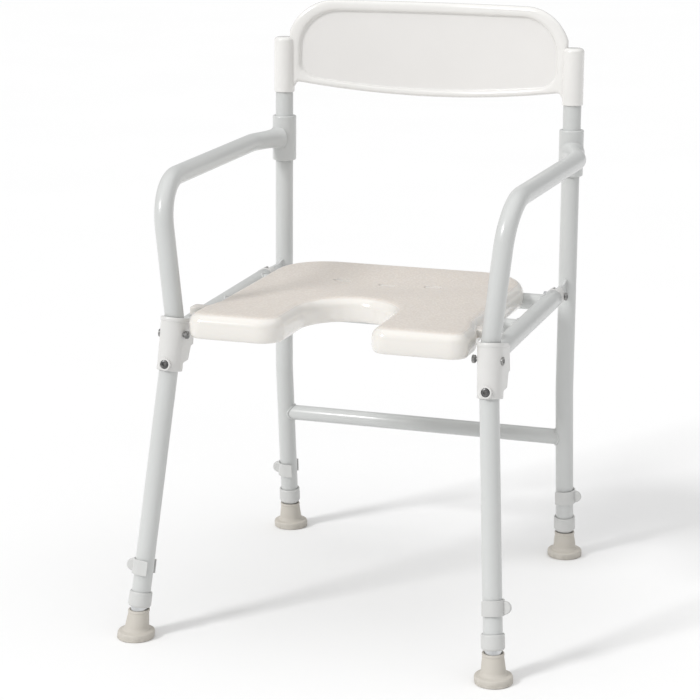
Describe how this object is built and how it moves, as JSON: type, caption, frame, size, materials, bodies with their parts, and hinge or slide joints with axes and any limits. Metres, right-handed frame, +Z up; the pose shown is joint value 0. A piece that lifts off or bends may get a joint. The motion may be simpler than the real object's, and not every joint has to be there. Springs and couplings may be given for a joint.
{
  "type": "shower stool",
  "caption": "Shower stool with a welded tube frame, moulded seat with a front cut-out, bowed backrest, lift-out arms and height-adjustable legs.",
  "frame": {"origin": "on the floor, at the middle of the box that holds all four feet", "axes": "+Z up, the sitter faces -Y, +X is to the right as seen from the front"},
  "size_m": [0.5356, 0.5495, 0.7881],
  "materials": {
    "powder_coat": "smooth pale grey-white powder coat, semi-gloss",
    "white_plastic": "moulded white plastic, glossy",
    "cream_plastic": "moulded cream plastic, textured on top and glossy at the edges",
    "grey_plastic": "moulded light grey plastic, satin",
    "aluminium": "bright extruded tube",
    "rubber": "cream-grey moulded rubber, matt",
    "black_steel": "black oxide steel",
    "steel": "zinc plated steel"
  },
  "bodies": {
    "frame": {"rear_frame": "powder_coat", "seat_frame": "powder_coat", "seat": "cream_plastic", "backrest": "white_plastic", "seat_screw_1": "steel", "seat_screw_2": "steel", "seat_screw_3": "steel", "seat_screw_4": "steel", "front_leg_left": "powder_coat", "knuckle_left": "white_plastic", "knuckle_screw_left": "steel", "knuckle_nut_left": "steel", "leg_bolt_left": "black_steel", "leg_nut_left": "steel", "rail_rear_plug_left": "white_plastic", "rail_front_plug_left": "white_plastic", "hinge_screw_left": "steel", "hinge_nut_left": "steel", "back_screw_left": "steel", "leg_collar_front_left": "grey_plastic", "leg_collar_rear_left": "grey_plastic", "front_leg_right": "powder_coat", "knuckle_right": "white_plastic", "knuckle_screw_right": "steel", "knuckle_nut_right": "steel", "leg_bolt_right": "black_steel", "leg_nut_right": "steel", "rail_rear_plug_right": "white_plastic", "rail_front_plug_right": "white_plastic", "hinge_screw_right": "steel", "hinge_nut_right": "steel", "back_screw_right": "steel", "leg_collar_front_right": "grey_plastic", "leg_collar_rear_right": "grey_plastic"},
    "arm_left": {"arm_left": "powder_coat"},
    "leg_end_front_left": {"leg_extension_front_left": "aluminium", "foot_front_left": "rubber"},
    "height_clip_front_left": {"height_clip_front_left": "grey_plastic"},
    "leg_end_rear_left": {"leg_extension_rear_left": "aluminium", "foot_rear_left": "rubber"},
    "height_clip_rear_left": {"height_clip_rear_left": "grey_plastic"},
    "arm_right": {"arm_right": "powder_coat"},
    "leg_end_front_right": {"leg_extension_front_right": "aluminium", "foot_front_right": "rubber"},
    "height_clip_front_right": {"height_clip_front_right": "grey_plastic"},
    "leg_end_rear_right": {"leg_extension_rear_right": "aluminium", "foot_rear_right": "rubber"},
    "height_clip_rear_right": {"height_clip_rear_right": "grey_plastic"}
  },
  "joints": [
    {"name": "arm_lift_left", "type": "slide", "parent": "frame", "child": "arm_left", "axis": [0, 0.021, 0.9998], "range_m": [0, 0.03]},
    {"name": "leg_height_front_left", "type": "slide", "parent": "frame", "child": "leg_end_front_left", "axis": [-0.0781, -0.1728, -0.9819], "range_m": [0, 0.125]},
    {"name": "clip_pull_front_left", "type": "slide", "parent": "frame", "child": "height_clip_front_left", "axis": [-0.9969, 0.0135, 0.0769], "range_m": [0, 0.04]},
    {"name": "leg_height_rear_left", "type": "slide", "parent": "frame", "child": "leg_end_rear_left", "axis": [0, 0.0946, -0.9955], "range_m": [0, 0.125]},
    {"name": "clip_pull_rear_left", "type": "slide", "parent": "frame", "child": "height_clip_rear_left", "axis": [-1, 0, 0], "range_m": [0, 0.04]},
    {"name": "arm_lift_right", "type": "slide", "parent": "frame", "child": "arm_right", "axis": [0, 0.021, 0.9998], "range_m": [0, 0.03]},
    {"name": "leg_height_front_right", "type": "slide", "parent": "frame", "child": "leg_end_front_right", "axis": [0.0781, -0.1728, -0.9819], "range_m": [0, 0.125]},
    {"name": "clip_pull_front_right", "type": "slide", "parent": "frame", "child": "height_clip_front_right", "axis": [0.9969, 0.0135, 0.0769], "range_m": [0, 0.04]},
    {"name": "leg_height_rear_right", "type": "slide", "parent": "frame", "child": "leg_end_rear_right", "axis": [0, 0.0946, -0.9955], "range_m": [0, 0.125]},
    {"name": "clip_pull_rear_right", "type": "slide", "parent": "frame", "child": "height_clip_rear_right", "axis": [1, 0, 0], "range_m": [0, 0.04]}
  ]
}
